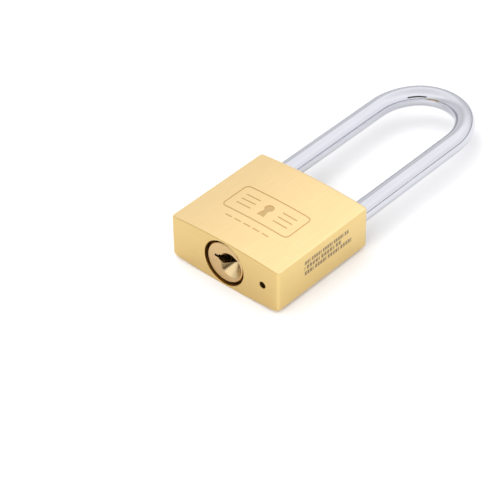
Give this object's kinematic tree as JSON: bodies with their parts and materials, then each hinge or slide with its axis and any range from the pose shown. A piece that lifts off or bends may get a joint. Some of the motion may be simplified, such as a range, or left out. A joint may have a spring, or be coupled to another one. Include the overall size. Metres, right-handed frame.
{
  "type": "padlock",
  "caption": "Long-shackle padlock with a solid cambered brass body, a round keyed plug in its end face and a plated steel shackle that lifts when the key turns.",
  "frame": {"origin": "middle of the object's bounding box, at its underside: the lowest line of the cambered back", "axes": "+X across the front face towards the heel leg, +Y from the keyway end towards the top of the shackle, +Z out of the front face; the padlock lies on its back"},
  "size_m": [0.04, 0.106, 0.0157],
  "materials": {
    "satin_brass": "fine satin, brushed along the length",
    "turned_brass": "turned",
    "chrome_plate": "plated over a drawn rod",
    "bright_steel": "ground",
    "spring_wire": "drawn wire"
  },
  "bodies": {
    "body": {"lock_body": "satin_brass", "cross_bore_plug": "satin_brass", "plug_retaining_pin": "bright_steel", "shackle_retaining_pin": "bright_steel", "ejector_spring": "spring_wire", "chamber_plug_1": "satin_brass", "chamber_plug_2": "satin_brass", "chamber_plug_3": "satin_brass", "chamber_plug_4": "satin_brass", "chamber_plug_5": "satin_brass", "driver_spring_1": "spring_wire", "driver_spring_2": "spring_wire", "driver_spring_3": "spring_wire", "driver_spring_4": "spring_wire", "driver_spring_5": "spring_wire"},
    "shackle": {"shackle": "chrome_plate"},
    "plug": {"cylinder_plug": "turned_brass", "drive_cam": "bright_steel"},
    "heel_bolt": {"heel_bolt": "bright_steel"},
    "toe_bolt": {"toe_bolt": "bright_steel", "bolt_spring": "spring_wire"},
    "key_pin_1": {"key_pin_1": "turned_brass"},
    "driver_1": {"driver_pin_1": "turned_brass"},
    "key_pin_2": {"key_pin_2": "turned_brass"},
    "driver_2": {"driver_pin_2": "turned_brass"},
    "key_pin_3": {"key_pin_3": "turned_brass"},
    "driver_3": {"driver_pin_3": "turned_brass"},
    "key_pin_4": {"key_pin_4": "turned_brass"},
    "driver_4": {"driver_pin_4": "turned_brass"},
    "key_pin_5": {"key_pin_5": "turned_brass"},
    "driver_5": {"driver_pin_5": "turned_brass"}
  },
  "joints": [
    {"name": "shackle_lift", "type": "slide", "parent": "body", "child": "shackle", "axis": [0, 1, 0], "range_m": [0, 0.0135], "deforming": ["ejector_spring"]},
    {"name": "plug_turn", "type": "hinge", "parent": "body", "child": "plug", "pos_m": [0, -0.05245, 0.00785], "axis": [0, 1, 0], "range_deg": [0, 90]},
    {"name": "heel_bolt_slide", "type": "slide", "parent": "body", "child": "heel_bolt", "axis": [-1, 0, 0], "range_m": [0, 0.0039], "deforming": ["bolt_spring"]},
    {"name": "toe_bolt_slide", "type": "slide", "parent": "body", "child": "toe_bolt", "axis": [1, 0, 0], "range_m": [0, 0.0039]},
    {"name": "key_pin_1_drop", "type": "slide", "parent": "plug", "child": "key_pin_1", "axis": [1, 0, 0], "range_m": [0, 0.0012]},
    {"name": "key_pin_2_drop", "type": "slide", "parent": "plug", "child": "key_pin_2", "axis": [1, 0, 0], "range_m": [0, 0.0012]},
    {"name": "key_pin_3_drop", "type": "slide", "parent": "plug", "child": "key_pin_3", "axis": [1, 0, 0], "range_m": [0, 0.0012]},
    {"name": "key_pin_4_drop", "type": "slide", "parent": "plug", "child": "key_pin_4", "axis": [1, 0, 0], "range_m": [0, 0.0012]},
    {"name": "key_pin_5_drop", "type": "slide", "parent": "plug", "child": "key_pin_5", "axis": [1, 0, 0], "range_m": [0, 0.0012]},
    {"name": "driver_1_push", "type": "slide", "parent": "body", "child": "driver_1", "axis": [-1, 0, 0], "range_m": [0, 0.002], "stiffness_N_per_m": 80, "springref_m": -0.004, "deforming": ["driver_spring_1"]},
    {"name": "driver_2_push", "type": "slide", "parent": "body", "child": "driver_2", "axis": [-1, 0, 0], "range_m": [0, 0.002], "stiffness_N_per_m": 80, "springref_m": -0.004, "deforming": ["driver_spring_2"]},
    {"name": "driver_3_push", "type": "slide", "parent": "body", "child": "driver_3", "axis": [-1, 0, 0], "range_m": [0, 0.002], "stiffness_N_per_m": 80, "springref_m": -0.004, "deforming": ["driver_spring_3"]},
    {"name": "driver_4_push", "type": "slide", "parent": "body", "child": "driver_4", "axis": [-1, 0, 0], "range_m": [0, 0.002], "stiffness_N_per_m": 80, "springref_m": -0.004, "deforming": ["driver_spring_4"]},
    {"name": "driver_5_push", "type": "slide", "parent": "body", "child": "driver_5", "axis": [-1, 0, 0], "range_m": [0, 0.002], "stiffness_N_per_m": 80, "springref_m": -0.004, "deforming": ["driver_spring_5"]}
  ],
  "couplings": [
    {"joint": "plug_turn", "follows": "shackle_lift", "rad_per_m": 116.35},
    {"joint": "heel_bolt_slide", "follows": "shackle_lift", "ratio": 0.2888},
    {"joint": "toe_bolt_slide", "follows": "shackle_lift", "ratio": 0.2888}
  ]
}
